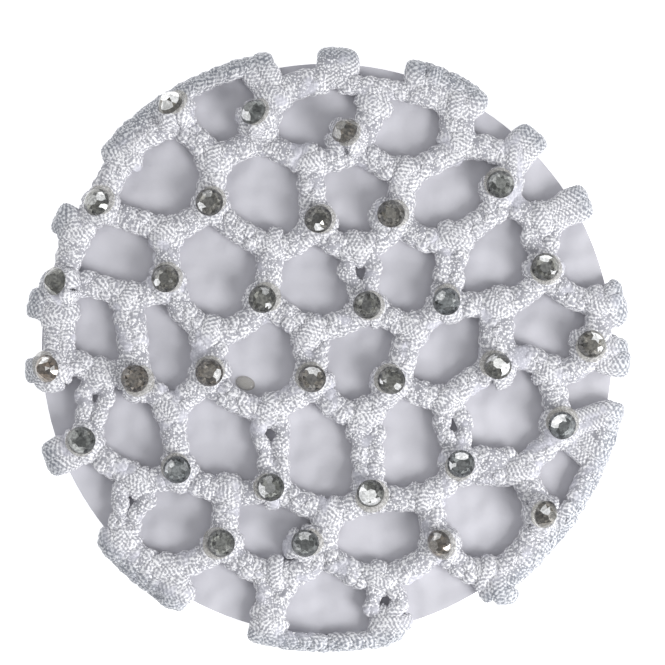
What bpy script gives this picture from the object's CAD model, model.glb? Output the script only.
# Looks of a crocheted bun net with rhinestones, stretched over a round display card.
# Places and sizes are in millimetres, as the part's own, until a mesh or an object is made.
import math
import random
from collections import namedtuple

import bmesh
import bpy
import numpy as np
from mathutils import Matrix, Vector, noise


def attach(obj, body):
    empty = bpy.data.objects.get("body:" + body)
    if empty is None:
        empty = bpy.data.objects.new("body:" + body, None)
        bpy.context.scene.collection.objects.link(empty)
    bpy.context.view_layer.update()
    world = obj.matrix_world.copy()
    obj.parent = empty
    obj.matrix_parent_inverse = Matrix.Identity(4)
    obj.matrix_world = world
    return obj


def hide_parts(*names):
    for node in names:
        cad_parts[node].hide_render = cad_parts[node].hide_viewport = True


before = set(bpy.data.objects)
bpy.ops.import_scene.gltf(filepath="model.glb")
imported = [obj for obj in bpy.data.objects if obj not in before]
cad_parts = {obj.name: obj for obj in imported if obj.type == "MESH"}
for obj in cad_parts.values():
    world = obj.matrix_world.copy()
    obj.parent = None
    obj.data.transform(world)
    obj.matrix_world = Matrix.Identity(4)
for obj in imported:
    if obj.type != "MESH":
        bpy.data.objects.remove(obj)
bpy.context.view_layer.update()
MM = 0.001

# The part's own sizes, repeated from its source
STRAND_W = 4.8
STRAND_T = 2.4
POST_W = 5.8
LEG_W = 2.8
KNOT_T = 3.5
CARD_D = 98.3
CARD_T = 1.2
GAP = 0.25
ELASTIC_RING_D = 60
ELASTIC_D = 1.2
LOOP_W = 4
STONE_D = 4.7
STONE_H = 1.9
BACK_Z = STRAND_T / 2
CARD_Z = STRAND_T + GAP
FRONT_Z = CARD_Z + CARD_T + GAP
STRAND_Z = FRONT_Z + STRAND_T / 2
WRAP_R = (STRAND_Z - BACK_Z) / 2
WRAP_Z = BACK_Z + WRAP_R
BACK_KNOT_R = 40


def table(columns, rows, defaults=()):
    """Rows of values whose columns have names. The last columns may have defaults."""
    named_row = namedtuple("Row", columns, defaults=defaults)
    return [named_row(*values) for values in rows]


# Chart of the posts, a list for each row of the crochet. Only a post with a slit has the last two values,
# and the slit's place is 0 at the head and 1 at the foot.
POSTS = [table("head_x head_y foot_x foot_y slit_w slit_place", row, (0, 0)) for row in [
    [[-26, 40.5, -25, 38.7], [-9, 44.3, -11, 36], [8, 42.5, 5.5, 34.5], [22.3, 42, 22.3, 35]],
    [[-35, 33.5, -39.5, 24.5], [-19.5, 33, -20, 24.5], [-2.9, 32.5, -2.4, 21.8],
     [13.4, 30.5, 12.3, 22.5], [32, 33.5, 31, 26]],
    [[-43, 20.5, -45.5, 11], [-27.6, 20.5, -27.1, 11.5], [-9.6, 18.2, -10.6, 8],
     [5.1, 17.8, 6.8, 7, 1.2, 0.35], [21.8, 19.6, 20.3, 8, 1.1, 0.05], [36.5, 22.5, 37.1, 13.5, 1.1, 0.25]],
    [[-45.8, 6.3, -46, -2.9], [-34.2, 9.3, -32.7, -5.5], [-19.9, 3.5, -20.8, -4.5, 1, 0.2],
     [-3, 3.2, -2.5, -5.5, 0.5, 0.25], [14.4, 4, 11.9, -5.5], [29.2, 8, 29, -2.7], [47, 8.5, 46, -0.3]],
    [[-39, -4, -41.4, -16, 0.8, 0.3], [-26.7, -9.8, -25.5, -21], [-10, -9.9, -8.9, -23.5, 1.1, 0.3],
     [6.5, -10.9, 7.4, -25, 0.7, 0.2], [20.9, -8.2, 22.8, -20, 0.8, 0.4], [38.2, -3.4, 40, -13.5]],
    [[-32.5, -22, -35.5, -33, 1.5, 0.25], [-17, -24, -18, -33.5], [0.1, -27.5, -0.6, -34.5],
     [17, -24.8, 19.2, -33.5], [33.1, -20, 37, -28.5]],
    [[-27.5, -37.5, -26, -41], [-8.5, -38.2, -10, -46.5, 1.2, 0.2], [9, -38.7, 11, -46.5, 1.6, 0.6],
     [27.5, -38, 29.5, -40.6]],
]]
ALL_POSTS = [(r, p) for r, row in enumerate(POSTS) for p in range(len(row))]
LAST_ROW = len(POSTS) - 1
# How far an arc bulges up the front, or hangs down it if below 0, by the row and post of its foot, and
# 0 for the arc to the left or 1 for the arc to the right
BULGES = {
    (0, 0, 0): 2, (0, 0, 1): 0.8, (0, 1, 0): 0.8, (0, 3, 1): 1,
    (1, 0, 1): 0.6, (1, 1, 1): -0.5, (1, 2, 0): -1.4, (1, 2, 1): -0.8, (1, 3, 0): -0.8, (1, 3, 1): -1.6,
    (2, 0, 1): 1.6, (2, 1, 1): -1.5, (2, 2, 0): -1.2, (2, 2, 1): 0.8, (2, 3, 1): 0.8, (2, 4, 1): 0.4,
    (2, 5, 0): -1, (2, 5, 1): -1.2,
    (3, 0, 1): 1.8, (3, 1, 0): 1.7, (3, 1, 1): 1, (3, 2, 1): -1, (3, 3, 1): -1.2, (3, 5, 0): 1,
    (3, 5, 1): 2.6, (3, 6, 0): -0.8,
    (4, 4, 1): -0.6,
    (5, 1, 1): -0.8, (5, 2, 0): -1, (5, 2, 1): -0.8, (5, 3, 0): -0.8, (5, 3, 1): -0.8, (5, 4, 0): -1.8,
}
# Posts that are wider than the rest, by row and post
WIDE_POSTS = {(0, 3): 7.4, (3, 0): 6.6, (3, 1): 6.6, (3, 5): 7.4}
# Strands along the front that join no post: three near the top, and one beside an arc
FREE_STRANDS = table("x1 y1 x2 y2 width", [
    [-9, 44.3, 0, 46.2, 5.5], [2, 45.4, 14, 44.2, 3.8], [13, 44.6, 21, 42.6, 4.8],
    [24.5, -18.4, 32, -18.6, 3.8],
])
# Strands that cross the card's rim: the angle, the row and post of the knot that it comes from, 0 for
# its head or 1 for its foot, and the width at the rim. Where the row is -1, the post is how far from
# the middle it begins on the front, or 0 if it begins at a ribbon along the rim.
CROSSINGS = table("angle row post at_foot width", [
    [9, 3, 6, 0, 8.4], [30, 2, 5, 0, 6.2], [46, 1, 4, 0, 6.6], [60, 0, 3, 0, 6], [71, 0, 3, 0, 5.6],
    [88, -1, 44.5, 0, 8], [104, 0, 1, 0, 6], [123, 0, 0, 0, 5], [136, 1, 0, 0, 6], [154, 2, 0, 0, 5.4],
    [171, 3, 0, 0, 5.2], [184.2, 3, 0, 1, 4.6], [202, 4, 0, 1, 6.4], [223, 5, 0, 1, 6], [238, 6, 0, 0, 6],
    [258, 6, 1, 1, 6.6], [270, -1, 0, 0, 5], [282, 6, 2, 1, 6], [306, 6, 3, 0, 5.6], [318, 5, 4, 1, 5.6],
    [328, -1, 0, 0, 5], [338, 4, 5, 1, 5], [347, 4, 5, 1, 4.8], [358.4, 3, 6, 1, 7],
])
# Ribbons along the rim: the angles of both ends, how far it lies turned over the rim, and its width
RIM_RIBBONS = table("start stop turn width", [
    [60, 71, 50, 5.2], [104, 123, 50, 5.2], [123, 136, 45, 5.2], [223, 238, 45, 5.2], [258, 270, 50, 4.8],
    [270, 282, 50, 4.8], [306, 318, 45, 5.2], [318, 328, 30, 5.2], [328, 338, 30, 5.2], [338, 347, 30, 5.2],
])
# Feet without a stone, by row and post
BARE_FEET = {(0, 3), (5, 0), (6, 0), (6, 1), (6, 2), (6, 3)}
# Stones that sit off their foot or lean, by row and post: the shift in x and y, and for a stone that
# leans, the lean in degrees and its direction
Seat = namedtuple("Seat", "shift_x shift_y lean toward", defaults=(0, 0))
# For stones that aren't listed, and bare feet
UPRIGHT = Seat(0, 0.5)
LEANING = {
    (0, 0): (-1.4, 2.8, 42, 123), (0, 1): (-1.3, 4.1, 40, 140), (0, 2): (-2.3, 2.4, 36, 140),
    (1, 0): (0.5, 0.4, 22, 150), (1, 2): (0.9, 0.3), (1, 3): (-1.4, 0.5), (1, 4): (-1.5, 2),
    (2, 0): (-0.3, 0.4, 42, 168), (2, 1): (-0.4, 0.5), (2, 2): (-0.4, 0.5), (2, 4): (0, 0.1),
    (3, 0): (-1.4, -0.4, 25, 185), (3, 2): (0.8, 0.5), (3, 4): (-0.9, 0.2),
    (3, 5): (0, -0.3, 20, 90), (3, 6): (-1, 1.2),
    (4, 0): (-0.3, 0.5), (4, 2): (-0.7, 0),
    (5, 2): (-3.1, 1.5), (5, 3): (0, 0.5, 34, 180), (5, 4): (0, 0.5, 32, -10),
}
ROW_LETTERS = "abcdefg"
# How each stone catches the light: angle, half width and strength of two flashes, the tone of its
# table, and its warmth from -1 blue to 1 brown
FLASHES = table("stone angle_1 half_1 strength_1 angle_2 half_2 strength_2 table_tone warmth", [
    ["a1", 50, 85, 0.95, 270, 35, 0.8, 0.9, 0.3], ["a2", 235, 35, 0.9, 115, 20, 0.4, 0.15, -0.3],
    ["a3", 235, 32, 0.7, 85, 35, 0.6, 0.25, 0.5], ["b1", 30, 24, 0.9, 200, 24, 0.4, 0.5, 0.1],
    ["b2", 205, 18, 1, 100, 24, 0.55, 0.2, 0.2], ["b3", 275, 18, 1, 180, 10, 0.2, 0.12, 0.2],
    ["b4", 60, 20, 0.2, 250, 20, 0.15, 0.22, 0.3], ["b5", 130, 30, 0.35, 20, 20, 0.3, 0.3, -0.1],
    ["c1", 235, 30, 0.4, 20, 20, 0.2, 0.18, 0.1], ["c2", 212, 13, 1, 150, 28, 0.4, 0.2, 0.2],
    ["c3", 315, 9, 1, 70, 22, 0.65, 0.2, 0.1], ["c4", 120, 24, 0.3, 300, 15, 0.1, 0.28, 0.1],
    ["c5", 140, 34, 0.55, 20, 14, 0.5, 0.25, -0.5], ["c6", 90, 26, 1, 325, 12, 0.9, 0.4, 0.1],
    ["d1", 75, 20, 0.85, 5, 9, 0.75, 0.15, 0.9], ["d2", 140, 12, 0.3, 10, 10, 0.15, 0.18, 0.6],
    ["d3", 350, 32, 0.95, 225, 20, 0.15, 0.25, 0.5], ["d4", 85, 34, 0.9, 270, 20, 0.35, 0.3, 0.4],
    ["d5", 320, 15, 0.95, 186, 6, 0.9, 0.12, 0.1], ["d6", 330, 34, 1, 135, 26, 0.75, 0.95, 0.1],
    ["d7", 60, 20, 0.95, 335, 13, 0.9, 0.2, 0.3], ["e1", 240, 30, 0.3, 60, 20, 0.25, 0.1, -0.2],
    ["e2", 150, 34, 0.6, 20, 20, 0.4, 0.32, -0.5], ["e3", 200, 36, 0.9, 100, 20, 0.6, 0.5, 0],
    ["e4", 200, 60, 0.95, 300, 30, 0.95, 0.95, 0], ["e5", 90, 36, 1, 188, 10, 1, 0.3, -0.4],
    ["e6", 130, 52, 1, 300, 18, 0.2, 0.32, -0.5], ["f2", 60, 18, 0.2, 210, 20, 0.2, 0.25, 0],
    ["f3", 95, 30, 0.75, 200, 20, 0.35, 0.15, -0.3], ["f4", 80, 20, 0.7, 200, 30, 0.5, 0.4, 0.6],
    ["f5", 135, 22, 0.9, 340, 32, 1, 0.3, 0.4],
])

# Places on the chart. A head lies a little lower than its row says, and arcs begin just below a foot.
FRONT_UP = np.array([0, 0, 1.0])
HEAD_DROP = 0.6
KNOT_DROP = 0.5
LEAN_LIFT = STONE_D * 0.3


def unit(v):
    return v / np.linalg.norm(v, axis=-1, keepdims=True)


def front(x, y):
    """A point in the middle of the front's strands."""
    return np.array([x, y, STRAND_Z])


def head(row, post):
    p = POSTS[row][post]
    return front(p.head_x, p.head_y) - [0, HEAD_DROP, 0]


def foot(row, post):
    p = POSTS[row][post]
    return front(p.foot_x, p.foot_y)


def around(angle, r, z):
    """A point at an angle and a distance round the card's middle."""
    a = math.radians(angle)
    return np.array([math.cos(a) * r, math.sin(a) * r, z])


def on_back(angle, r):
    return around(angle, r, BACK_Z)


def over_rim(angle, turn):
    """A point of the path over the rim and its outward normal, from a turn of 0 in front to 180 behind."""
    t, out = math.radians(turn), around(angle, 1, 0)
    place = out * (CARD_D / 2 + WRAP_R * math.sin(t)) + FRONT_UP * (WRAP_Z + WRAP_R * math.cos(t))
    return place, out * math.sin(t) + FRONT_UP * math.cos(t)


def has_stone(row, post):
    return (row, post) not in BARE_FEET


def seat(row, post):
    """Shift, lean and direction of the stone on a foot."""
    return Seat(*LEANING[row, post]) if (row, post) in LEANING else UPRIGHT


def seat_point(row, post):
    """The middle of a stone's flat back, which is lifted where the stone leans."""
    s, p = seat(row, post), foot(row, post)
    z = FRONT_Z + KNOT_T + LEAN_LIFT * math.sin(math.radians(s.lean))
    return np.array([p[0] + s.shift_x, p[1] + s.shift_y, z])


# Paths of the strands
ARCH_RISE = 0.35
ARC_SAG = 0.3
SLIT_REACH = 1.3
SPLIT_W = 2.7
SPLIT_POINTS = 31
# Turn over the rim where a crossing from a ribbon along the rim begins
RIM_START = 45
RIM_POINTS = 9
TURN_STEP = 15


def arched(p, q, sag=0.0, count=11):
    """A path between two points of the front, a little higher in its middle, that may hang down it."""
    t = np.linspace(0, 1, count)
    path = p[None, :] * (1 - t)[:, None] + q[None, :] * t[:, None]
    path[:, 2] += ARCH_RISE * np.sin(t * math.pi)
    path[:, 1] -= sag * np.sin(t * math.pi)
    return path, np.repeat([FRONT_UP], count, 0)


def split_paths(row, post):
    """The two halves of a post that has a short slit."""
    p, q, slit = head(row, post), foot(row, post), POSTS[row][post]
    path, up = arched(p, q, count=SPLIT_POINTS)
    off = (np.linspace(0, 1, len(path)) - slit.slit_place) * np.linalg.norm(q - p) / SLIT_REACH
    side = unit(np.cross(FRONT_UP, q - p))
    apart = SPLIT_W / 2 + slit.slit_w * np.exp(-off ** 2)
    return [(path + side * (s * apart)[:, None], up) for s in (-1, 1)]


def arc_paths(row, post):
    """The arcs from a foot to the nearest heads of the next row, one to each side."""
    p = foot(row, post)
    heads = [head(row + 1, i) for i in range(len(POSTS[row + 1]))]
    left = [h for h in heads if h[0] < p[0]][-1:]
    right = [h for h in heads if h[0] > p[0]][:1]
    made = []
    for side, ends in enumerate((left, right)):
        sag = ARC_SAG - BULGES.get((row, post, side), 0)
        made += [arched(p - [0, KNOT_DROP, 0], q, sag) for q in ends]
    return made


def crossing_start(c):
    """Where a crossing begins on the front, or None if it begins at a ribbon along the rim."""
    if c.row >= 0:
        return (foot if c.at_foot else head)(c.row, c.post)
    return around(c.angle, c.post, STRAND_Z) if c.post > 0 else None


def crossing_path(c, first=0, last=180):
    """From a knot over the card's rim to the back, or the part of it between two turns over the rim."""
    start = crossing_start(c)
    first_turn = max(first, RIM_START if start is None else 0)
    rim = [over_rim(c.angle, turn) for turn in range(first_turn, last + 1, TURN_STEP)]
    points, normals = [r[0] for r in rim], [r[1] for r in rim]
    if first == 0 and start is not None:
        points.insert(0, start)
        normals.insert(0, FRONT_UP)
    if last == 180:
        points.append(on_back(c.angle, BACK_KNOT_R))
        normals.append(-FRONT_UP)
    return points, normals


def rim_path(rim):
    """Along the rim from one crossing to the next."""
    places = [over_rim(a, rim.turn) for a in np.linspace(rim.start, rim.stop, RIM_POINTS)]
    return [p[0] for p in places], [p[1] for p in places]


def free_path(strand):
    return arched(front(strand.x1, strand.y1), front(strand.x2, strand.y2))


def loop_angle(i):
    """The angle of the loop behind, halfway from a crossing to the next."""
    stop = CROSSINGS[i + 1].angle if i + 1 < len(CROSSINGS) else CROSSINGS[0].angle + 360
    return (CROSSINGS[i].angle + stop) / 2


def post_width(row, post):
    return WIDE_POSTS.get((row, post), POST_W)


# Ribbon: the steps between its corners in front and behind, its outline and its stitches.
# A stitch's lift and tones are a middle value and how far chance moves it.
RING_STEP = 0.36
FACE_STEP = 0.25
BACK_STEP = 0.42
FACE_EDGE = 25
UNDER_CORNERS = 3
EDGE_SHARE = 0.7
SQUARENESS = 0.75
END_SHARE = 0.35
SWELL = 0.12
SWELL_LENGTH = 2.2
STITCH_RISE = 0.13
STITCH_LIFT = (0.9, 0.4)
STITCH_TONE = (0.73, 0.27)
GROOVE_TONE = (0.2, 0.2)
SMOOTH_PASSES = 4
WAVE_HEIGHT = 1.8
WAVES_APART = 7.31


def lengths(points):
    """How far along the path each of its points lies."""
    return np.r_[0, np.cumsum(np.linalg.norm(np.diff(points, axis=0), axis=1))]


def resampled(points, normals, step):
    """The same path with points a step apart, smoothed at its corners."""
    points, normals = np.array(points, float), np.array(normals, float)
    along = lengths(points)
    count = max(4, int(round(along[-1] / step)) + 1)
    at = np.linspace(0, along[-1], count)
    p = np.stack([np.interp(at, along, points[:, k]) for k in range(3)], 1)
    n = np.stack([np.interp(at, along, normals[:, k]) for k in range(3)], 1)
    for _ in range(SMOOTH_PASSES):
        p[1:-1] = (p[:-2] + 2 * p[1:-1] + p[2:]) / 4
        n[1:-1] = (n[:-2] + 2 * n[1:-1] + n[2:]) / 4
    return p, unit(n)


def ring_step(step):
    """The step along a ribbon that goes with a step across it."""
    return RING_STEP * step / FACE_STEP


def frames(points, normals):
    """Unit vectors to the side of the path and out of its face."""
    along = unit(np.gradient(points, axis=0))
    side = unit(np.cross(normals, along))
    return side, np.cross(along, side)


def wander(count, length, seed):
    """A slow random wave between about -1 and 1, sampled along a ribbon."""
    places = [Vector((i * RING_STEP / length, seed * WAVES_APART, 0.5)) for i in range(count)]
    return np.array([noise.noise(place) * WAVE_HEIGHT for place in places])


def outline(width, thick, step):
    """Angles round a ribbon: close together on its face for the wales, and wide apart under it."""
    face = 2 * int(round((width + EDGE_SHARE * thick) / (2 * step))) + 1
    a = np.linspace(-FACE_EDGE, 180 + FACE_EDGE, face)
    under = np.linspace(180 + FACE_EDGE, 360 - FACE_EDGE, UNDER_CORNERS + 2)[1:-1]
    return np.radians(np.r_[a, under]), face


def squared(v):
    """Cosines or sines of a round outline, drawn out towards a square one."""
    return np.sign(v) * np.abs(v) ** SQUARENESS


def stitches(count, sides, face, rise, uneven, seed):
    """How far each corner stands out as a stitch, and how bright it is."""
    chance = np.random.default_rng(abs(int(seed * 10)) + 5)
    i, k = np.meshgrid(np.arange(count), np.arange(sides), indexing="ij")
    stands = (k % 2 == 0) & ((i + k // 2) % 2 == 0) & (k < face)
    vary = chance.uniform(-uneven, uneven, stands.shape)
    lift = np.where(stands, rise * (STITCH_LIFT[0] + STITCH_LIFT[1] * vary), 0)
    bright, dark = (middle + reach * vary for middle, reach in (STITCH_TONE, GROOVE_TONE))
    return lift, np.where(stands, bright, dark)


def tube_faces(rings, sides):
    """The four-sided faces between the rings of a tube, and the caps at its two ends."""
    i, k = np.meshgrid(np.arange(rings - 1), np.arange(sides), indexing="ij")
    j = (k + 1) % sides
    quads = np.stack([i * sides + k, i * sides + j, (i + 1) * sides + j, (i + 1) * sides + k], -1)
    first, last = list(range(sides)), list(range((rings - 1) * sides, rings * sides))
    return quads.reshape(-1, 4), [first[::-1], last]


def sweep(points, normals, width, thick, seed, step=FACE_STEP, rise=STITCH_RISE, uneven=1.0):
    """A ribbon along a path: corners, faces, end caps, and for each corner how bright its stitch is and
    where it lies along and across the ribbon."""
    side, out = frames(points, normals)
    count, u = len(points), lengths(points)
    close = np.clip(np.minimum(u, u[-1] - u) / thick, 0, 1)
    swell = END_SHARE + (1 - END_SHARE) * np.sqrt(1 - (1 - close) ** 2)
    swell = swell * (1 + SWELL * wander(count, SWELL_LENGTH, seed + 9))
    width = np.broadcast_to(width, count)
    a, face = outline(width.max(), thick, step)
    lift, tone = stitches(count, len(a), face, rise, uneven, seed)
    x = squared(np.cos(a))[None, :] * (width / 2 * swell)[:, None] + lift * np.cos(a)[None, :]
    z = squared(np.sin(a))[None, :] * (thick / 2) * swell[:, None] + lift * np.sin(a)[None, :]
    verts = points[:, None, :] + side[:, None, :] * x[..., None] + out[:, None, :] * z[..., None]
    quads, caps = tube_faces(count, len(a))
    along = np.broadcast_to(u[:, None], tone.shape)
    across = np.broadcast_to(np.arange(len(a)) * step, tone.shape)
    knit = np.stack([tone, along, across], -1)
    return verts.reshape(-1, 3), quads, caps, knit.reshape(-1, 3)


# Plaits, flat bands and knots that the ribbons are worked into.
# Lengths of waves are in millimetres. Pairs are the least and the most that chance gives.
PLAIT_PITCH = 6.4
PLAIT_W = 2.5
PLAIT_T = 1.35
PLAIT_LIFT = 0.42
PLAIT_ROLL = 0.5
PLAIT_SHARE = 0.88
SPLIT_LEG_W = 3.1
PLY_WIDTHS = (0.85, 1.15)
TURN_WAVE = 7
SWING_WAVE = 5
RISE_WAVE = 3
FLARE_START = CARD_D / 2 - 8
FLARE_LENGTH = 7
FLARE_END = 0.9
BAND_T = 2.15
BAND_TURN = 120
BAND_PARTING = 0.08
BAND_OVERLAP = 0.1
BAND_LIFTS = (-0.1, 0.1)
BAND_TILTS = (0.02, 0.2)
BAND_SHIFT_WAVE = 6
BAND_LIFT_WAVE = 5
BAND_UNEVEN = 0.7
GATHER_END = ELASTIC_RING_D / 2 + 0.8
GATHER_W = LEG_W + 0.6
GATHER_T = STRAND_T * 0.85
GATHER_WAVE = 3
LOOP_R = ELASTIC_D / 2 + 0.32
LOOP_STEP = 0.3
LOOP_RIBBON_W = LOOP_W * 0.55
LOOP_RIBBON_T = 0.5
KNOT_R = 2.9
FOOT_KNOT_R = 3.1
LINK_KNOT_R = 3.0
HEAD_KNOT_TOP = FRONT_Z + KNOT_T - 0.6
BARE_KNOT_TOP = FRONT_Z + KNOT_T - 0.4
LINK_KNOT_DROP = 1.2
BACK_KNOT_TOP = 2.3
BACK_KNOT_FLOOR = -0.2
ARCH_END = 1.15
ARCH_POINTS = 25
ARCH_FULLNESS = 0.75
ARCH_LOW = 0.5
ARCH_TOP_DROP = 0.75
ARCH_STACK = 0.12
ARCH_TURN = 12
ARCH_REACHES = (0.95, 1.12)
ARCH_WIDTHS = (0.95, 1.3)
ARCH_T = 1.3
ARCH_WAVE = 4
# Where the random draws of each kind of piece begin
ARC_SEED = 300
CROSSING_SEED = 500
RIM_SEED = 700
FREE_SEED = 750
GATHER_SEEDS = (800, 900)
LOOP_SEED = 60
HEAD_SEED = 1000
FOOT_SEED = 2000
LINK_SEED = 2500
BACK_SEED = 3000
GLUE_SEED = 500


def spread(points, width, widest):
    """The width along a strand that gets wider towards the rim, and narrow again behind it."""
    near = np.clip((np.hypot(points[:, 0], points[:, 1]) - FLARE_START) / FLARE_LENGTH, 0, 1)
    under = np.clip((STRAND_Z - points[:, 2]) / (STRAND_Z - BACK_Z) / FLARE_END, 0, 1)
    return width + (widest - width) * near * (1 - under)


def plait(points, normals, width=STRAND_W, seed=0, plies=3):
    """A strand of the net: ribbons plaited flat, as in a chain of crochet."""
    p, n = resampled(points, normals, RING_STEP)
    side, out = frames(p, n)
    count = len(p)
    chance = random.Random(seed * 101 + 3)
    phase, hand = chance.uniform(0, 2 * math.pi), chance.choice([-1, 1])
    turn = 2 * math.pi * np.arange(count) * RING_STEP / PLAIT_PITCH + 0.9 * wander(count, TURN_WAVE, seed)
    made = []
    for k in range(plies):
        ply_w = PLAIT_W * chance.uniform(*PLY_WIDTHS) * width / STRAND_W
        swing = (width - ply_w) / 2 * (1 + 0.15 * wander(count, SWING_WAVE, seed + k + 70))
        a = hand * turn + phase + k * 2 * math.pi / plies
        rise = PLAIT_LIFT * np.sin(2 * a) + 0.12 * wander(count, RISE_WAVE, seed + k + 40)
        centre = p + side * (swing * np.sin(a))[:, None] + out * rise[:, None]
        roll = PLAIT_ROLL * np.sin(a)
        face = out * np.cos(roll)[:, None] + side * np.sin(roll)[:, None]
        made.append(sweep(*resampled(centre, face, RING_STEP), ply_w, PLAIT_T, seed + 13 * k))
    return made


def band(points, normals, widest, seed, step=FACE_STEP):
    """A flat strand of two ribbons side by side, which spreads out over the rim."""
    p, n = resampled(points, normals, ring_step(step))
    side, out = frames(p, n)
    count, wide = len(p), spread(p, STRAND_W, widest)
    chance = random.Random(seed)
    parting = 0.5 + chance.uniform(-BAND_PARTING, BAND_PARTING)
    made = []
    for k, (share, sign) in enumerate(((parting, -1), (1 - parting, 1))):
        ply_w = wide * (share + BAND_OVERLAP)
        shift = sign * (wide - ply_w) / 2 + 0.25 * wander(count, BAND_SHIFT_WAVE, seed + k)
        lift = 0.14 * wander(count, BAND_LIFT_WAVE, seed + k + 30) + chance.uniform(*BAND_LIFTS)
        tilt = sign * chance.uniform(*BAND_TILTS)
        centre = p + side * shift[:, None] + out * lift[:, None]
        face = unit(out + side * tilt)
        made.append(sweep(centre, face, ply_w, BAND_T, seed + 7 * k, step, uneven=BAND_UNEVEN))
    return made


def post_ribbons(row, post):
    seed = row * 17 + post
    if POSTS[row][post].slit_w:
        halves = enumerate(split_paths(row, post))
        return [r for k, path in halves for r in plait(*path, SPLIT_LEG_W, seed + k, plies=2)]
    path = arched(head(row, post), foot(row, post))
    return plait(*path, post_width(row, post) * PLAIT_SHARE, seed)


def arc_ribbons(row, post):
    seed = ARC_SEED + row * 19 + post
    return [r for k, path in enumerate(arc_paths(row, post)) for r in plait(*path, seed=seed + 90 * k)]


def crossing_ribbons(c):
    """A crossing in fine steps as far as it can be seen, and in coarse ones behind."""
    seed = CROSSING_SEED + c.angle
    seen = band(*crossing_path(c, last=BAND_TURN), c.width, seed)
    return seen + band(*crossing_path(c, first=BAND_TURN - TURN_STEP), c.width, seed, BACK_STEP)


def gather_ribbons(i):
    """From a knot on the back to the loops on both sides of it, each wandering a little."""
    knot, back = on_back(CROSSINGS[i].angle, BACK_KNOT_R), [-FRONT_UP, -FRONT_UP]
    made = []
    for k, seed in zip((i, (i - 1) % len(CROSSINGS)), GATHER_SEEDS):
        end = on_back(loop_angle(k), GATHER_END)
        p, n = resampled([knot, end], back, ring_step(BACK_STEP))
        side, _ = frames(p, n)
        p = p + side * (wander(len(p), GATHER_WAVE, seed + i) * 0.25)[:, None]
        made.append(sweep(p, n, GATHER_W, GATHER_T, seed + i, BACK_STEP))
    return made


def loop_ribbons(i):
    """A loop of two ribbons that goes round the elastic."""
    angle = loop_angle(i)
    out = around(angle, 1, 0)
    made = []
    for shift in (-LOOP_W / 4, LOOP_W / 4):
        centre = on_back(angle, ELASTIC_RING_D / 2) + np.cross(FRONT_UP, out) * shift
        turns = np.radians(np.arange(-20, 361, 20) + 10 * shift)
        normals = out * np.cos(turns)[:, None] + FRONT_UP * np.sin(turns)[:, None]
        path = resampled(centre + normals * LOOP_R, normals, LOOP_STEP)
        made.append(sweep(*path, LOOP_RIBBON_W, LOOP_RIBBON_T, LOOP_SEED + i, BACK_STEP))
    return made


def knot_arch(base, top, radius, far, angle, lean, toward):
    """The path of a ribbon over a knot whose top may lean, and the direction to the ribbon's side."""
    t = np.linspace(-ARCH_END, ARCH_END, ARCH_POINTS) * math.pi / (2 * ARCH_END)
    r, low = radius * np.sin(t) * far, base[2]
    blend = np.clip(np.cos(t), 0, 1) ** ARCH_FULLNESS
    x, y = base[0] + r * math.cos(angle), base[1] + r * math.sin(angle)
    downhill = math.cos(angle) * math.cos(toward) + math.sin(angle) * math.sin(toward)
    z = low + (top - low) * blend - (r * downhill) * math.tan(lean) * blend
    path = np.stack([x, y, np.maximum(z, low)], 1)
    side = np.array([-math.sin(angle), math.cos(angle), 0.0])
    normals = unit(np.cross(unit(np.gradient(path, axis=0)), side))
    return path, normals * np.sign(normals[ARCH_POINTS // 2][2]), side


def rosette(place, top, radius, seed, bands=3, lean=0.0, toward=0.0, floor=FRONT_Z, step=FACE_STEP):
    """Ribbons that arch over a knot in different directions. Its top may lean."""
    chance = random.Random(seed)
    first = chance.uniform(0, 180)
    base = [place[0], place[1], floor + ARCH_LOW]
    tilt = math.radians(lean), math.radians(toward)
    made = []
    for k in range(bands):
        angle = math.radians(first + k * 180 / bands + chance.uniform(-ARCH_TURN, ARCH_TURN))
        high, far = top - ARCH_TOP_DROP - ARCH_STACK * k, chance.uniform(*ARCH_REACHES)
        path, normals, side = knot_arch(base, high, radius, far, angle, *tilt)
        p, n = resampled(path, normals, ring_step(step))
        p += side * (wander(len(p), ARCH_WAVE, seed + k) * 0.5)[:, None]
        made.append(sweep(p, n, PLAIT_W * chance.uniform(*ARCH_WIDTHS), ARCH_T, seed + 5 * k, step))
    return made


def head_knot(row, post):
    return rosette(head(row, post), HEAD_KNOT_TOP, KNOT_R, HEAD_SEED + row * 13 + post)


def foot_knot(row, post):
    """The knot under a stone, with a smaller one that links it to a foot that the stone sits off."""
    s, p, at = seat(row, post), foot(row, post), seat_point(row, post)
    chart_seed = row * 13 + post
    top = at[2] if has_stone(row, post) else BARE_KNOT_TOP
    low = at - [0, KNOT_DROP, 0]
    made = rosette(low, top, FOOT_KNOT_R, FOOT_SEED + chart_seed, lean=s.lean, toward=s.toward)
    if np.hypot(*(at - p)[:2]) > 1:
        middle = (p + at) / 2 if s.lean or s.shift_x else at
        made += rosette(middle, top - LINK_KNOT_DROP, LINK_KNOT_R, LINK_SEED + chart_seed, bands=2)
    return made


def back_knot(c):
    """A knot lies flat, so its ribbons arch towards the surface below."""
    made = []
    ribbons = rosette(on_back(c.angle, BACK_KNOT_R), BACK_KNOT_TOP, KNOT_R, BACK_SEED + c.angle,
                      floor=BACK_KNOT_FLOOR, step=BACK_STEP)
    for verts, quads, caps, knit in ribbons:
        verts = verts * [1, 1, -1] + [0, 0, 2 * BACK_Z]
        made.append((verts, quads[:, ::-1], [cap[::-1] for cap in caps], knit))
    return made


# Meshes and objects
LOWEST_Z = 0.03


def shade_smooth(mesh):
    mesh.polygons.foreach_set("use_smooth", np.ones(len(mesh.polygons), bool))


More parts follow.
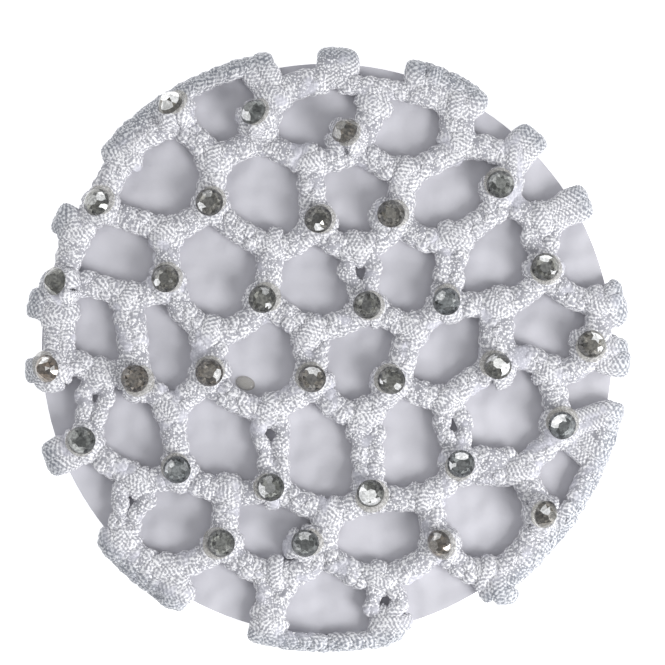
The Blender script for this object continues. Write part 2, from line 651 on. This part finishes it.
def placed(name, mesh, material):
    """An object that rides on the part's one body."""
    mesh.materials.append(material)
    obj = bpy.data.objects.new(name, mesh)
    bpy.context.scene.collection.objects.link(obj)
    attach(obj, "root")
    return obj


def made_mesh(name, parts, material):
    """One object from many swept parts, with the brightness and place of each stitch."""
    verts = np.concatenate([p[0] for p in parts])
    verts[:, 2] = np.maximum(verts[:, 2], LOWEST_Z)
    start = np.cumsum([0] + [len(p[0]) for p in parts[:-1]])
    faces = []
    for p, s in zip(parts, start):
        faces += (p[1] + s).tolist()
        faces += [[i + int(s) for i in cap] for cap in p[2]]
    mesh = bpy.data.meshes.new(name)
    mesh.from_pydata((verts * MM).tolist(), [], faces)
    knit = np.concatenate([p[3] for p in parts]).astype(np.float32)
    mesh.attributes.new("stitch", "FLOAT_VECTOR", "POINT").data.foreach_set("vector", knit.ravel())
    shade_smooth(mesh)
    mesh.update()
    return placed(name, mesh, material)


# Materials. The scale of a pattern is in cells to the millimetre.
MIX_A, MIX_B, MIX_RESULT = 6, 7, 2


class Nodes:
    """Short ways to add and link a material's nodes."""

    def __init__(self, name):
        self.material = bpy.data.materials.new(name)
        self.material.use_nodes = True
        self.tree = self.material.node_tree
        self.shader = self.tree.nodes["Principled BSDF"]

    def add(self, kind, inputs=None, **values):
        """A new node with its properties and its inputs set."""
        node = self.tree.nodes.new(kind)
        for key, value in values.items():
            setattr(node, key, value)
        self.fill(node, inputs or {})
        return node

    def fill(self, node, inputs):
        """Puts numbers and colours on a node's own inputs, and links the rest to them."""
        for key, value in inputs.items():
            if isinstance(value, (int, float, tuple)):
                node.inputs[key].default_value = value
            else:
                self.tree.links.new(value, node.inputs[key])

    def shade(self, inputs):
        self.fill(self.shader, inputs)

    def math(self, operation, a, b=0.0):
        return self.add("ShaderNodeMath", {0: a, 1: b}, operation=operation).outputs[0]

    def split(self, vector):
        return self.add("ShaderNodeSeparateXYZ", {0: vector}).outputs

    def noise(self, vector, scale, detail=2.0, rough=0.5):
        inputs = {"Vector": vector, "Scale": scale, "Detail": detail, "Roughness": rough}
        return self.add("ShaderNodeTexNoise", inputs).outputs[0]

    def ramp(self, value, low, high, out_low=0.0, out_high=1.0):
        inputs = {"Value": value, "From Min": low, "From Max": high, "To Min": out_low, "To Max": out_high}
        return self.add("ShaderNodeMapRange", inputs, interpolation_type="SMOOTHSTEP").outputs[0]

    def mix(self, factor, a, b):
        inputs = {0: factor, MIX_A: a, MIX_B: b}
        return self.add("ShaderNodeMix", inputs, data_type="RGBA").outputs[MIX_RESULT]

    def bump(self, height, distance, strength=1.0, normal=None):
        inputs = {"Height": height, "Distance": distance * MM, "Strength": strength}
        if normal is not None:
            inputs["Normal"] = normal
        return self.add("ShaderNodeBump", inputs).outputs[0]


def object_mm(n):
    """The object's own coordinates in millimetres."""
    place = n.add("ShaderNodeTexCoord").outputs["Object"]
    return n.add("ShaderNodeVectorMath", {0: place, "Scale": 1 / MM}, operation="SCALE").outputs[0]


def from_middle(n, where):
    """Distance from the card's middle in millimetres, seen from above."""
    flat = n.add("ShaderNodeVectorMath", {0: where, 1: (1, 1, 0)}, operation="MULTIPLY")
    return n.add("ShaderNodeVectorMath", {0: flat.outputs["Vector"]}, operation="LENGTH").outputs["Value"]


# Stitches are bright with dark valleys between, softer where the ribbon is sheer, and a little greyer
# where it is stretched over the card's edge.
BRIGHT = (0.95, 0.95, 0.97, 1)
VALLEY = (0.36, 0.36, 0.40, 1)
SHEER = (0.62, 0.62, 0.69, 1)
SHEER_VALLEY = (0.52, 0.52, 0.58, 1)
SHEER_SHARE = 0.8
STRETCHED = (0.63, 0.645, 0.685, 1)
STRETCHED_VALLEY = (0.15, 0.17, 0.205, 1)
STRETCHED_SHARE = 0.72
STRETCHED_FROM = CARD_D / 2 - 1
STRETCHED_TO = CARD_D / 2 + 2
CELL = 0.42
STITCH_LONG = 0.64
STITCH_WIDE = 0.7
ROW_BEND = 3.0
TONE_SHARE = 0.75
ROWS_SHARE = 0.26
KNIT_SHARE = 0.85
GRAIN_SHARE = 0.7


def stitch_cells(n, where):
    """Brightness of the stitches where no single ribbon shows: small cells, some bright and some not."""
    cells = n.add("ShaderNodeTexVoronoi", {"Vector": where, "Scale": 1 / CELL})
    apart = n.add("ShaderNodeSeparateColor", {0: cells.outputs["Color"]})
    chance = n.math("ADD", n.math("MULTIPLY", apart.outputs[0], 0.7), 0.3)
    return n.math("MULTIPLY", n.ramp(cells.outputs["Distance"], 0.62, 0.12), chance)


def stitch_rows(n, where):
    """Brightness of a ribbon's stitches: its fine rows, and how each larger stitch catches the light."""
    tone, along, across = n.split(n.add("ShaderNodeAttribute", attribute_name="stitch").outputs["Vector"])
    waves = n.noise(where, scale=0.9, detail=1.0)
    bend = n.math("MULTIPLY", n.math("SUBTRACT", waves, 0.5), ROW_BEND)
    u = n.math("ADD", n.math("MULTIPLY", along, 2 * math.pi / STITCH_LONG), bend)
    v = n.math("ADD", n.math("MULTIPLY", across, 2 * math.pi / STITCH_WIDE), bend)
    rows = n.math("MULTIPLY", n.math("COSINE", u), n.math("COSINE", v))
    return n.math("ADD", n.math("MULTIPLY", tone, TONE_SHARE), n.math("MULTIPLY", rows, ROWS_SHARE))


def ribbon_material(name, from_stitches):
    n = Nodes(name)
    where = object_mm(n)
    knit = stitch_rows(n, where) if from_stitches else stitch_cells(n, where)
    grain = n.math("SUBTRACT", n.noise(where, scale=4.5, detail=1.0), 0.5)
    tone = n.math("ADD", n.math("MULTIPLY", knit, KNIT_SHARE), n.math("MULTIPLY", grain, GRAIN_SHARE))
    sheer = n.ramp(n.noise(where, scale=0.25), 0.56, 0.7)
    dark = n.mix(sheer, VALLEY, SHEER_VALLEY)
    bright = n.mix(n.math("MULTIPLY", sheer, SHEER_SHARE), BRIGHT, SHEER)
    over_edge = n.ramp(from_middle(n, where), STRETCHED_FROM, STRETCHED_TO, out_high=STRETCHED_SHARE)
    bright, dark = n.mix(over_edge, bright, STRETCHED), n.mix(over_edge, dark, STRETCHED_VALLEY)
    n.shade({
        "Base Color": n.mix(n.ramp(tone, 0.0, 0.48), dark, bright),
        "Roughness": n.ramp(tone, 0.0, 1.0, out_low=0.55, out_high=0.32),
        "Normal": n.bump(tone, distance=0.08, strength=0.6),
        "Sheen Weight": 0.2,
        "Sheen Roughness": 0.4,
    })
    return n.material


CARD_DARK = (0.58, 0.58, 0.63, 1)
CARD_PALE = (0.69, 0.68, 0.72, 1)
CLOUD_SHARE = 0.7
FIBRE_SHARE = 0.3


def card_material():
    """Uncoated card with a fine fibre, not quite flat."""
    n = Nodes("card")
    where = object_mm(n)
    cloud = n.noise(where, scale=0.03)
    fibre = n.noise(where, scale=1.6, detail=4.0, rough=0.65)
    tone = n.math("ADD", n.math("MULTIPLY", cloud, CLOUD_SHARE), n.math("MULTIPLY", fibre, FIBRE_SHARE))
    waves = n.bump(n.noise(where, scale=0.14, detail=1.0), distance=1.7)
    n.shade({
        "Base Color": n.mix(tone, CARD_DARK, CARD_PALE),
        "Roughness": n.ramp(fibre, 0.2, 0.8, out_low=0.75, out_high=0.9),
        "Normal": n.bump(fibre, distance=0.02, normal=waves),
        "Specular IOR Level": 0.3,
    })
    return n.material


BRAID_GROOVE = (0.5, 0.5, 0.54, 1)
BRAID_THREAD = (0.86, 0.86, 0.88, 1)
BRAID_ALONG = 2.2
BRAID_UP = 2.6


def elastic_material():
    """A rubber core under a fine braid."""
    n = Nodes("elastic")
    x, y, z = n.split(object_mm(n))
    along = n.math("MULTIPLY", n.math("ARCTAN2", y, x), ELASTIC_RING_D / 2)
    slant = n.math("ADD", n.math("MULTIPLY", along, BRAID_ALONG), n.math("MULTIPLY", z, BRAID_UP))
    braid = n.math("ABSOLUTE", n.math("SUBTRACT", n.math("FRACT", slant), 0.5))
    n.shade({
        "Base Color": n.mix(n.ramp(braid, 0.02, 0.3), BRAID_GROOVE, BRAID_THREAD),
        "Normal": n.bump(braid, distance=0.12),
        "Roughness": 0.6,
    })
    return n.material


DEPTH_CLOUD = (0.4, 0.41, 0.41, 1)
SPECK = (0.05, 0.052, 0.055, 1)
FLASH_GLOW = 0.6


def stone_material():
    """Foiled crystal: each facet has its own tint, with faint clouds and dark specks in its depth."""
    n = Nodes("rhinestone")
    where = object_mm(n)
    facet = n.add("ShaderNodeAttribute", attribute_name="facet")
    tint = facet.outputs["Color"]
    cloud = n.ramp(n.noise(where, scale=1.1), 0.3, 0.75, out_high=0.3)
    specks = n.ramp(n.noise(where, scale=2.6, detail=3.0, rough=0.7), 0.4, 0.64, out_high=0.75)
    uneven = n.noise(where, scale=0.8, detail=1.0)
    n.shade({
        "Base Color": n.mix(specks, n.mix(cloud, tint, DEPTH_CLOUD), SPECK),
        "Roughness": n.ramp(uneven, 0.3, 0.7, out_low=0.08, out_high=0.2),
        "Emission Color": tint,
        "Emission Strength": n.math("MULTIPLY", facet.outputs["Alpha"], FLASH_GLOW),
        "Metallic": 0.75,
        "Coat Weight": 0.6,
        "Coat Roughness": 0.04,
    })
    return n.material


GLUE_DARK = (0.4, 0.38, 0.33, 1)
GLUE_PALE = (0.58, 0.57, 0.53, 1)


def glue_material():
    """Clear glue, a little cloudy."""
    n = Nodes("glue")
    cloud = n.noise(object_mm(n), scale=0.7)
    n.shade({
        "Base Color": n.mix(cloud, GLUE_DARK, GLUE_PALE),
        "Normal": n.bump(cloud, distance=0.1),
        "Roughness": 0.15,
        "Alpha": 0.36,
    })
    return n.material


# The net's body: the deeper ribbons that fill the strands and their joins.
# The columns of a row of LUMP_SCALES are the length and the height of its lumps.
BODY_VOXEL = 0.55
BODY_STEP = 0.5
BODY_T = STRAND_T * 0.8
BODY_INSET = 0.9
POST_INSET = 1.5
RIM_INSET = 1
BODY_W = STRAND_W - BODY_INSET
BODY_LEG_W = SPLIT_LEG_W * 0.8
BODY_SMOOTH = 8
BODY_SOFTNESS = 0.5
BODY_LOWEST_Z = 0.05
JOIN_R = 2.8
BACK_JOIN_T = 2 * BACK_Z * 0.8
LUMP_SCALES = [[1.7, 0.22], [0.8, 0.14]]
LUMP_SIDES = 20
LUMP_RINGS = 9
LUMP_END = 80


def plain(path, width, widest=None):
    """A plain strand inside the ribbons of a path."""
    p, n = resampled(*path, BODY_STEP)
    return sweep(p, n, spread(p, width, widest) if widest else width, BODY_T, 1, BODY_STEP, rise=0)


def lump(centre, r, height):
    """A rounded lump that fills a join."""
    a = np.arange(LUMP_SIDES) * math.pi / (LUMP_SIDES / 2)
    t = np.radians(np.linspace(-LUMP_END, LUMP_END, LUMP_RINGS))
    x, y = np.outer(np.cos(t), np.cos(a)) * r, np.outer(np.cos(t), np.sin(a)) * r
    z = np.repeat(np.sin(t)[:, None], LUMP_SIDES, 1) * height / 2
    verts = np.stack([x, y, z], -1) + centre
    return verts.reshape(-1, 3), *tube_faces(LUMP_RINGS, LUMP_SIDES), np.zeros((x.size, 3))


def body_parts():
    parts = []
    for row, post in ALL_POSTS:
        if POSTS[row][post].slit_w:
            parts += [plain(path, BODY_LEG_W) for path in split_paths(row, post)]
        else:
            path = arched(head(row, post), foot(row, post))
            parts.append(plain(path, post_width(row, post) - POST_INSET))
        if row < LAST_ROW:
            parts += [plain(path, BODY_W) for path in arc_paths(row, post)]
        parts.append(lump(head(row, post), JOIN_R, STRAND_T))
        parts.append(lump(foot(row, post) - [0, KNOT_DROP, 0], JOIN_R, STRAND_T))
    parts += [plain(free_path(s), s.width - BODY_INSET) for s in FREE_STRANDS]
    for c in CROSSINGS:
        parts.append(plain(crossing_path(c), BODY_W, c.width - RIM_INSET))
        parts.append(lump(on_back(c.angle, BACK_KNOT_R), JOIN_R, BACK_JOIN_T))
    parts += [plain(rim_path(r), r.width - RIM_INSET) for r in RIM_RIBBONS]
    return parts


def fused(obj):
    """The object's parts as one soft skin."""
    remesh = obj.modifiers.new("remesh", "REMESH")
    remesh.mode, remesh.voxel_size = "VOXEL", BODY_VOXEL * MM
    soften = obj.modifiers.new("soften", "SMOOTH")
    soften.iterations, soften.factor = BODY_SMOOTH, BODY_SOFTNESS
    bpy.context.view_layer.update()
    mesh = bpy.data.meshes.new_from_object(obj.evaluated_get(bpy.context.evaluated_depsgraph_get()))
    obj.modifiers.clear()
    return mesh


def make_lumpy(mesh):
    """Moves the skin in and out in soft lumps, clear of the surface below."""
    count = len(mesh.vertices)
    places, normals = np.empty(count * 3, np.float32), np.empty(count * 3, np.float32)
    mesh.vertices.foreach_get("co", places)
    mesh.vertex_normals.foreach_get("vector", normals)
    places, normals = places.reshape(-1, 3).astype(float), normals.reshape(-1, 3)
    lumps = [sum(noise.noise(Vector(p) / s) * h for s, h in LUMP_SCALES) for p in places / MM]
    places += normals * np.array(lumps)[:, None] * MM
    places[:, 2] = np.maximum(places[:, 2], BODY_LOWEST_Z * MM)
    mesh.vertices.foreach_set("co", places.astype(np.float32).ravel())
    mesh.update()


def net_body(material):
    obj = made_mesh("net_body", body_parts(), material)
    mesh = fused(obj)
    obj.data = mesh
    make_lumpy(mesh)
    mesh.materials.clear()
    mesh.materials.append(material)
    shade_smooth(mesh)
    return obj


# Rhinestones. A facet has a dark tint, and a share of the flash where the stone catches the light.
OLIVE = np.array([0.135, 0.139, 0.124])
BLUE = np.array([0.13, 0.165, 0.21])
BROWN = np.array([0.2, 0.13, 0.085])
FLASH = np.array([0.96, 0.97, 0.97])
TINT_SHARE = 0.6
FACET_TONES = (0.45, 1.9)
FLASH_TONES = (0.75, 1.0)
FLASH_POWER = 1.5
FLASH_SPILL = 3
FLASH_EDGE = 0.84
TABLE_R = 0.2
TABLE_POWER = 1.6
TABLE_SHARE = 0.8
GIRDLE_SHARE = 0.7
GIRDLE_TONE = 0.05
GIRDLE_IN = 0.97
STONE_SPIN = 22
STONE_TILT = 5
TILT_ROUND = 6.28
# Rings of the crown's corners, from the table outwards: radius and height as shares of the stone's,
# number of corners, and the angle of the first
CROWN_RINGS = [[0.4, 1.0, 8, 22.5], [0.66, 0.7, 16, 0], [0.86, 0.4, 16, 11.25], [1.0, 0.13, 32, 0]]


def facet_tint(angle, r, flash, chance):
    """Colour of a facet, from where it lies on the stone and how that stone catches the light."""
    side, warmth = BROWN if flash.warmth > 0 else BLUE, abs(flash.warmth)
    base = OLIVE * (1 - warmth * TINT_SHARE) + side * warmth * TINT_SHARE
    tone = base * chance.uniform(*FACET_TONES)
    if r < TABLE_R:
        return tone * TABLE_SHARE + FLASH * flash.table_tone ** TABLE_POWER * TABLE_SHARE
    light = 0
    for middle, half, strength in (flash[1:4], flash[4:7]):
        off = abs((angle - middle + 180) % 360 - 180)
        if off < half + FLASH_SPILL and r < FLASH_EDGE:
            light = max(light, strength ** FLASH_POWER * chance.uniform(*FLASH_TONES))
    if r > FLASH_EDGE:
        tone = tone * GIRDLE_SHARE + GIRDLE_TONE
    return tone * (1 - light) + FLASH * light


def stone_mesh(name):
    """A flat-back stone with a table and three rings of facets, over a thin girdle."""
    mesh, work = bpy.data.meshes.new(name), bmesh.new()
    rings = []
    for r, h, count, first in CROWN_RINGS:
        angles = [math.radians(first + i * 360 / count) for i in range(count)]
        rings.append([work.verts.new((math.cos(a) * r, math.sin(a) * r, h)) for a in angles])
    top, star, lower, edge = rings
    bottom = [work.verts.new((v.co.x * GIRDLE_IN, v.co.y * GIRDLE_IN, 0)) for v in edge]
    work.faces.new(top)
    for inner, outer in ((top, star), (lower, edge)):
        for i in range(len(inner)):
            after = outer[(2 * i + 2) % len(outer)]
            work.faces.new((inner[i], outer[2 * i], outer[2 * i + 1]))
            work.faces.new((inner[i], outer[2 * i + 1], after))
            work.faces.new((inner[i], after, inner[(i + 1) % len(inner)]))
    for i in range(len(star)):
        j = (i + 1) % len(star)
        work.faces.new((star[i], lower[i], star[j]))
        work.faces.new((lower[i], lower[j], star[j]))
    for i in range(len(edge)):
        j = (i + 1) % len(edge)
        work.faces.new((edge[i], bottom[i], bottom[j], edge[j]))
    work.faces.new(bottom[::-1])
    bmesh.ops.scale(work, vec=(STONE_D / 2, STONE_D / 2, STONE_H), verts=work.verts)
    bmesh.ops.recalc_face_normals(work, faces=work.faces)
    work.to_mesh(mesh)
    work.free()
    return mesh


def seat_turn(s):
    """The lean of a stone on its seat."""
    return Matrix.Rotation(math.radians(s.toward), 4, "Z") @ Matrix.Rotation(math.radians(s.lean), 4, "Y")


def tint_facets(mesh, turned, flash, chance):
    """Gives each corner of a facet the facet's colour, and its brightness as alpha."""
    tints = []
    for face in mesh.polygons:
        c = face.center
        angle = math.degrees(math.atan2(c.y, c.x)) + turned
        tint = facet_tint(angle, math.hypot(c.x, c.y) / (STONE_D / 2), flash, chance)
        tints += [(*tint, float(np.clip(tint.mean(), 0, 1)))] * face.loop_total
    layer = mesh.color_attributes.new("facet", "FLOAT_COLOR", "CORNER")
    layer.data.foreach_set("color", np.array(tints, np.float32).ravel())


def stone(row, post, material, chance):
    name = "%s%d" % (ROW_LETTERS[row], post + 1)
    mesh = stone_mesh("crystal_" + name)
    s, at = seat(row, post), seat_point(row, post)
    spin, tilt = chance.uniform(-STONE_SPIN, STONE_SPIN), chance.uniform(0, STONE_TILT)
    tilt_angle = chance.uniform(0, TILT_ROUND)
    flash = next(f for f in FLASHES if f.stone == name)
    tint_facets(mesh, spin + s.toward, flash, chance)
    tipped = Matrix.Rotation(math.radians(tilt), 4, (math.cos(tilt_angle), math.sin(tilt_angle), 0))
    turn = seat_turn(s) @ Matrix.Translation((0, 0, GAP)) @ tipped
    turn = turn @ Matrix.Rotation(math.radians(spin), 4, "Z")
    mesh.transform(Matrix.Scale(MM, 4) @ Matrix.Translation(at) @ turn)
    obj = placed("crystal_" + name, mesh, material)
    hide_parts("stone_" + name)


# Glue: a smear beside each stone, and one drop on the card
GLUE_W = 1.5
GLUE_EDGE_W = 0.3
GLUE_T = 0.5
GLUE_Z = 0.08
GLUE_POINTS = 33
GLUE_HALVES = (70, 130)
GLUE_AMOUNTS = (0.5, 1.0)
GLUE_IN = 0.94
GLUE_OUT = 0.12
DROP_X = -14.1
DROP_Y = -5.9
DROP_LONG = 1.75
DROP_WIDE = 1.2
DROP_T = 1.3
DROP_ANGLE = math.radians(-20)
DROP_LIFT = 0.02


def glue_arc(row, post, chance):
    """The clear glue that has pressed out on one side of a stone."""
    turn = np.array(seat_turn(seat(row, post)).to_3x3())
    middle, half = chance.uniform(0, 360), chance.uniform(*GLUE_HALVES)
    t = np.linspace(-1, 1, GLUE_POINTS)
    a = np.radians(middle + half * t)
    much = (1 - t ** 2) * chance.uniform(*GLUE_AMOUNTS)
    r = STONE_D / 2 * (GLUE_IN + GLUE_OUT * much)
    local = np.stack([np.cos(a) * r, np.sin(a) * r, np.full(len(t), GLUE_Z)], 1)
    points = local @ turn.T + seat_point(row, post)
    normals = np.repeat([turn @ FRONT_UP], len(t), 0)
    return sweep(points, normals, GLUE_EDGE_W + GLUE_W * much, GLUE_T, row * 7 + post, rise=0)


def glue_drop():
    """A drop that has run onto the card."""
    verts, quads, caps, knit = lump(np.zeros(3), 1, DROP_T)
    u, v = verts[:, 0] * DROP_LONG, verts[:, 1] * DROP_WIDE
    x = DROP_X + u * math.cos(DROP_ANGLE) - v * math.sin(DROP_ANGLE)
    y = DROP_Y + u * math.sin(DROP_ANGLE) + v * math.cos(DROP_ANGLE)
    z = CARD_Z + CARD_T + DROP_LIFT + np.maximum(verts[:, 2], 0)
    return np.stack([x, y, z], 1), quads, caps, knit


def joined(make, rows):
    """The swept parts that a function makes for each of some rows."""
    return [part for row in rows for part in make(*row)]


def build_net():
    knit, plain_knit = ribbon_material("ribbon", True), ribbon_material("ribbon_body", False)
    arcs = [(row, post) for row, post in ALL_POSTS if row < LAST_ROW]
    half = len(arcs) // 2
    crossings = [(c,) for c in CROSSINGS]
    rim = [part for i, r in enumerate(RIM_RIBBONS) for part in plait(*rim_path(r), r.width, RIM_SEED + i)]
    for i, s in enumerate(FREE_STRANDS):
        rim += plait(*free_path(s), s.width, FREE_SEED + i)
    back = [part for i in range(len(CROSSINGS)) for part in gather_ribbons(i) + loop_ribbons(i)]
    pieces = [
        net_body(plain_knit),
        made_mesh("posts", joined(post_ribbons, ALL_POSTS), knit),
        made_mesh("arcs_upper", joined(arc_ribbons, arcs[:half]), knit),
        made_mesh("arcs_lower", joined(arc_ribbons, arcs[half:]), knit),
        made_mesh("head_knots", joined(head_knot, ALL_POSTS), knit),
        made_mesh("foot_knots", joined(foot_knot, ALL_POSTS), knit),
        made_mesh("crossings", joined(crossing_ribbons, crossings), knit),
        made_mesh("rim_ribbons", rim, knit),
        made_mesh("back_ribbons", back + joined(back_knot, crossings), knit),
    ]
    for piece in pieces:
        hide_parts("net")


def build_stones():
    crystal, glue, smears = stone_material(), glue_material(), []
    for row, post in ALL_POSTS:
        if has_stone(row, post):
            seed = row * 10 + post
            stone(row, post, crystal, random.Random(seed))
            smears.append(glue_arc(row, post, random.Random(seed + GLUE_SEED)))
    made_mesh("glue", smears + [glue_drop()], glue)


def give_material(node, material):
    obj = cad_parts[node]
    obj.data.materials.clear()
    obj.data.materials.append(material)


# Surroundings: the picture's width and middle in millimetres, and the floor and lamps in metres
PHOTO_W = 114.05
PHOTO_CENTRE = (0.94, 2.83)
LENS = 100
SENSOR = 36
CLIP_NEAR = 0.01
CLIP_FAR = 10
FLOOR_W = 3
FLOOR_COLOUR = (0.9, 0.9, 0.9, 1)
FLOOR_GLOW = 0.65
SKY_COLOUR = (0.97, 0.98, 1.0, 1)
SKY_STRENGTH = 0.48
LAMPS = table("name angle height distance size power", [
    ["key", -33, 33, 0.6, 0.32, 3.75], ["fill", 140, 22, 0.6, 0.5, 0.85],
])


def stage():
    bpy.ops.mesh.primitive_plane_add(size=FLOOR_W)
    floor = bpy.context.object
    floor.name = "floor"
    n = Nodes("floor")
    n.shade({
        "Base Color": FLOOR_COLOUR,
        "Roughness": 0.8,
        "Emission Color": (1, 1, 1, 1),
        "Emission Strength": FLOOR_GLOW,
    })
    floor.data.materials.append(n.material)


def light(lamp):
    """A soft square lamp that looks at the object from an angle round it and a height over the floor."""
    data = bpy.data.lights.new(lamp.name, "AREA")
    data.size, data.energy = lamp.size, lamp.power
    obj = bpy.data.objects.new(lamp.name, data)
    a, h = math.radians(lamp.angle), math.radians(lamp.height)
    towards = Vector((math.cos(a) * math.cos(h), math.sin(a) * math.cos(h), math.sin(h)))
    obj.location = towards * lamp.distance
    obj.rotation_euler = towards.to_track_quat("Z", "Y").to_euler()
    bpy.context.scene.collection.objects.link(obj)


def sky():
    world = bpy.data.worlds.new("world")
    world.use_nodes = True
    background = world.node_tree.nodes["Background"]
    background.inputs["Color"].default_value = SKY_COLOUR
    background.inputs["Strength"].default_value = SKY_STRENGTH
    bpy.context.scene.world = world
    bpy.context.scene.view_settings.view_transform = "Standard"


def camera():
    """Looks straight down, as far off as the picture's width needs."""
    data = bpy.data.cameras.new("camera")
    data.lens, data.sensor_width = LENS, SENSOR
    data.clip_start, data.clip_end = CLIP_NEAR, CLIP_FAR
    obj = bpy.data.objects.new("camera", data)
    far = PHOTO_W * LENS / SENSOR
    obj.location = (PHOTO_CENTRE[0] * MM, PHOTO_CENTRE[1] * MM, (STRAND_Z + far) * MM)
    bpy.context.scene.collection.objects.link(obj)
    bpy.context.scene.camera = obj


build_net()
build_stones()
give_material("display_card", card_material())
give_material("elastic", elastic_material())
stage()
for lamp in LAMPS:
    light(lamp)
sky()
camera()
